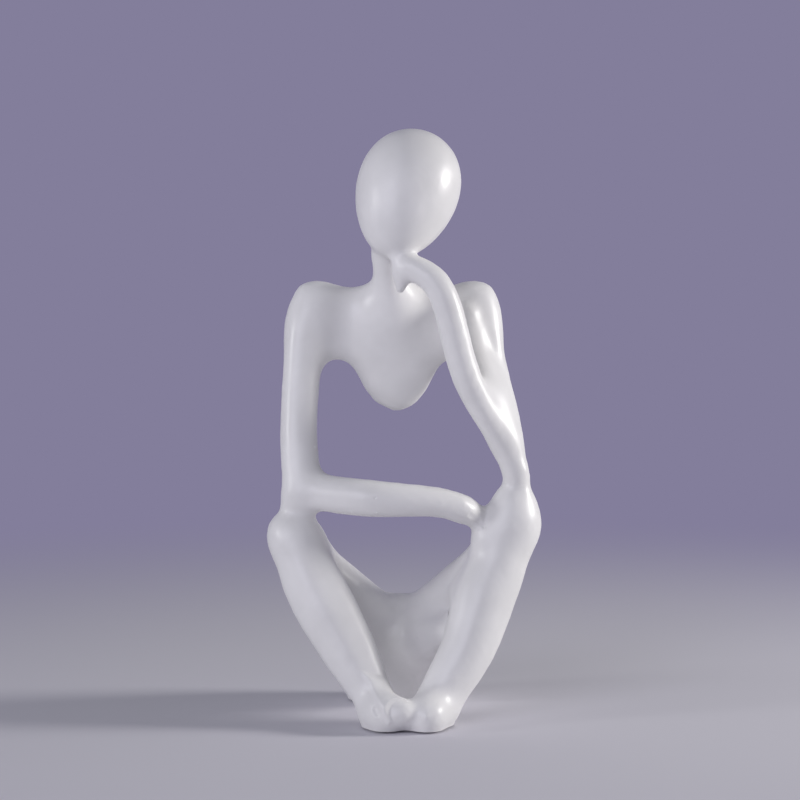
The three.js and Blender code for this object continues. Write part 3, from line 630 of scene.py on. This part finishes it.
def cap_holes(piece, bond):
    """Closes each hole of a casting with faces that are noted as bond faces."""
    for loop in open_loops(piece):
        for face in bmesh.ops.triangle_fill(piece, edges=loop, use_beauty=True)["geom"]:
            if isinstance(face, bmesh.types.BMFace):
                face[bond] = 1


def turn_caps(piece, bond):
    """Turns the faces over bonds and base the way the skin round them faces."""
    left = {f for f in piece.faces if f[bond]}
    to_visit = [f for f in piece.faces if not f[bond]]
    while to_visit:
        face = to_visit.pop()
        for edge in list(face.edges):
            for other in list(edge.link_faces):
                if other in left:
                    left.remove(other)
                    to_visit.append(other)
                    if not edge.is_contiguous:
                        other.normal_flip()
    piece.normal_update()


def closed_casting(name, points, normals, triangles):
    """One casting as a closed mesh: its share of the skin, a face over each bond, and a flat base."""
    used, corners = np.unique(triangles, return_inverse=True)
    corners = corners.reshape(triangles.shape)
    piece = bmesh.new()
    shine = piece.verts.layers.float_vector.new("skin_normal")
    bond = piece.faces.layers.int.new("bond")
    verts = []
    for index in used:
        vert = piece.verts.new(points[index])
        vert[shine] = normals[index]
        verts.append(vert)
    for triangle in corners:
        piece.faces.new([verts[i] for i in triangle])
    cap_holes(piece, bond)
    whole = [*piece.verts, *piece.edges, *piece.faces]
    bmesh.ops.bisect_plane(
        piece, geom=whole, plane_co=(0, 0, BASE_HEIGHT), plane_no=(0, 0, 1), clear_inner=True,
    )
    cap_holes(piece, bond)
    turn_caps(piece, bond)
    mesh = bpy.data.meshes.new(name + "_casting")
    shading = []
    for face in piece.faces:
        face.smooth = True
        for vert in face.verts:
            shading.append(face.normal if face[bond] else vert[shine].normalized())
    piece.to_mesh(mesh)
    piece.free()
    mesh.normals_split_custom_set([tuple(normal) for normal in shading])
    mesh.attributes.remove(mesh.attributes["skin_normal"])
    mesh.attributes.remove(mesh.attributes["bond"])
    return mesh


def add_piece(name, mesh, material, node):
    """Adds a mesh to the figure as a piece that stands for a frame node."""
    piece = bpy.data.objects.new(name, mesh)
    bpy.context.collection.objects.link(piece)
    mesh.materials.clear()
    mesh.materials.append(material)
    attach(piece, "root")
    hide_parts(node)
    return piece


def make_castings(material):
    """All the castings, worked as one skin and split again at the bonds."""
    wrapped = one_skin()
    shell = outer_shell(wrapped)
    bpy.data.meshes.remove(wrapped)
    rubbed_down(shell)
    flattened_toe(shell)
    worked(shell)
    points, normals, triangles, owners = split_at_bonds(shell)
    shell.free()
    for i, name in enumerate(CASTINGS):
        mesh = closed_casting(name, points, normals, triangles[owners == i])
        add_piece(name + "_casting", mesh, material, name)


def pad_outline(name):
    """Even points round the plan of a pad's frame node, and their middle."""
    plan = [v.co.xy for v in NODES[name].data.vertices]
    rim = np.array([plan[i] for i in geometry.convex_hull_2d(plan)])
    closed = np.vstack([rim, rim[:1]])
    run = np.concatenate([[0], np.cumsum(np.linalg.norm(np.diff(closed, axis=0), axis=1))])
    even = np.linspace(0, run[-1], PAD_POINTS, endpoint=False)
    outline = np.stack([np.interp(even, run, closed[:, axis]) for axis in (0, 1)], axis=1)
    for _ in range(PAD_OUTLINE_ROUNDS):
        outline = (np.roll(outline, 1, axis=0) + 2 * outline + np.roll(outline, -1, axis=0)) / 4
    return outline, outline.mean(axis=0)


def pad_profile(thickness):
    """Rim of a pad from its foot to its top, rounded at both edges, as pairs of inset and height."""
    turns = np.linspace(0, math.pi / 2, PAD_RIM_POINTS)
    lower = [(PAD_RIM * (1 - math.sin(t)), PAD_RIM * (1 - math.cos(t))) for t in turns]
    return lower + [(inset, thickness - height) for inset, height in reversed(lower)]


def make_felt(name, material):
    """A die-cut felt pad: flat, with a soft rim, and rough with fibres all over."""
    low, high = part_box(name)
    outline, middle = pad_outline(name)
    reach = np.linalg.norm(outline - middle, axis=1)[:, None]
    shares = np.linspace(0, 1, PAD_RINGS, endpoint=False)[1:]
    thickness = high.z - low.z
    section = [(share, PAD_RIM, 0) for share in shares]
    section += [(1, inset, height) for inset, height in pad_profile(thickness)]
    section += [(share, PAD_RIM, thickness) for share in reversed(shares)]
    pad = bmesh.new()
    rings = []
    for share, inset, height in section:
        ring = middle + (outline - middle) * (share * (1 - inset / reach))
        rings.append([pad.verts.new((x, y, low.z + height)) for x, y in ring])
    for inner, outer in zip(rings, rings[1:]):
        for i in range(PAD_POINTS):
            j = (i + 1) % PAD_POINTS
            pad.faces.new((inner[i], inner[j], outer[j], outer[i]))
    pad.faces.new(reversed(rings[0]))
    pad.faces.new(rings[-1])
    bmesh.ops.recalc_face_normals(pad, faces=pad.faces)
    pad.normal_update()
    for vert in pad.verts:
        tuft = noise.noise(vert.co / FIBRE_WIDTH) * FIBRE_HEIGHT
        vert.co += vert.normal * tuft
        vert.co.z = min(max(vert.co.z, low.z), high.z)
    mesh = bpy.data.meshes.new(name + "_felt")
    pad.to_mesh(mesh)
    pad.free()
    mesh.shade_smooth()
    piece = add_piece(name + "_felt", mesh, material, name)


def backdrop_rays(tree):
    """1 for the rays that show the backdrop: the camera's own, and those that a shiny surface mirrors."""
    paths = add_node(tree, "ShaderNodeLightPath").outputs
    shown = add_node(tree, "ShaderNodeMath", {
        0: paths["Is Camera Ray"], 1: paths["Is Glossy Ray"],
    }, operation="MAXIMUM")
    return shown.outputs["Value"]


def matt_floor():
    """Matt pale lilac-grey paint that runs out, with distance, into the backdrop's colour."""
    material, tree = empty_material("stage_floor")
    place = add_node(tree, "ShaderNodeNewGeometry").outputs["Position"]
    distance = add_node(tree, "ShaderNodeVectorMath", {0: place}, operation="LENGTH").outputs["Value"]
    fade = add_node(tree, "ShaderNodeMapRange", {
        "Value": distance, "From Min": STAGE_FADE_START, "From Max": STAGE_FADE_END,
    }, interpolation_type="SMOOTHSTEP").outputs["Result"]
    lit = add_node(tree, "ShaderNodeBsdfDiffuse", {"Color": paint("D6D4DC")}).outputs["BSDF"]
    flat = add_node(tree, "ShaderNodeEmission", {"Color": paint(BACKDROP)}).outputs["Emission"]
    mixed = add_node(tree, "ShaderNodeMixShader", {"Fac": fade, 1: lit, 2: flat}).outputs["Shader"]
    both = add_node(tree, "ShaderNodeMixShader", {"Fac": backdrop_rays(tree), 1: lit, 2: mixed})
    add_node(tree, "ShaderNodeOutputMaterial", {"Surface": both.outputs["Shader"]})
    return material


def make_floor(material):
    rim = [(STAGE_RADIUS * math.cos(a), STAGE_RADIUS * math.sin(a), 0)
           for a in np.linspace(0, 2 * math.pi, STAGE_POINTS, endpoint=False)]
    mesh = bpy.data.meshes.new("floor")
    mesh.from_pydata(rim, [], [range(len(rim))])
    mesh.materials.append(material)
    floor = bpy.data.objects.new("floor", mesh)
    bpy.context.collection.objects.link(floor)


def make_world():
    """Soft light from all round, and one colour behind the figure."""
    world = bpy.data.worlds.new("studio")
    world.use_nodes = True
    bpy.context.scene.world = world
    tree = world.node_tree
    tree.nodes.clear()
    soft = add_node(tree, "ShaderNodeBackground", {"Color": paint("E2E4F2"), "Strength": 0.24})
    seen = add_node(tree, "ShaderNodeBackground", {"Color": paint(BACKDROP)})
    both = add_node(tree, "ShaderNodeMixShader", {
        "Fac": backdrop_rays(tree), 1: soft.outputs["Background"], 2: seen.outputs["Background"],
    })
    add_node(tree, "ShaderNodeOutputWorld", {"Surface": both.outputs["Shader"]})


def add_lamp(name, place, size, power, hex_colour):
    light = bpy.data.lights.new(name, "AREA")
    light.shape = "DISK"
    light.size = size
    light.energy = power
    light.color = paint(hex_colour)[:3]
    lamp = bpy.data.objects.new(name, light)
    lamp.location = place
    lamp.rotation_euler = (Vector(LAMP_TARGET) - Vector(place)).to_track_quat("-Z", "Y").to_euler()
    bpy.context.collection.objects.link(lamp)


def make_lights():
    """A key light from the figure's left, a broad fill from the front, and a small one for the sheen."""
    add_lamp("key", place=(1.15, 0.0, 0.45), size=0.3, power=10.0, hex_colour="FFFDFA")
    add_lamp("fill", place=(-0.7, -1.1, 0.55), size=0.9, power=5.5, hex_colour="F4F3FF")
    add_lamp("sheen", place=(-1.2, -0.4, 0.4), size=0.25, power=2.8, hex_colour="FFFFFF")


def make_camera():
    lens = bpy.data.cameras.new("camera")
    lens.lens = CAMERA_LENS
    lens.sensor_width = SENSOR_WIDTH
    camera = bpy.data.objects.new("camera", lens)
    camera.location = CAMERA_PLACE
    camera.rotation_euler = (math.radians(90 - CAMERA_DROP), 0, 0)
    bpy.context.collection.objects.link(camera)
    bpy.context.scene.camera = camera


make_camera()
make_floor(matt_floor())
make_world()
make_lights()
make_castings(sprayed_resin())
# Felt for the pads: its dark brown is partly painted shade for the contact shadow under the feet
felt = felt_with_painted_shade()
for pad_name in PADS:
    make_felt(pad_name, felt)
steel = ground_steel()
for pin_name in PINS:
    NODES[pin_name].data.materials.clear()
    NODES[pin_name].data.materials.append(steel)
bpy.context.scene.view_settings.view_transform = "Standard"
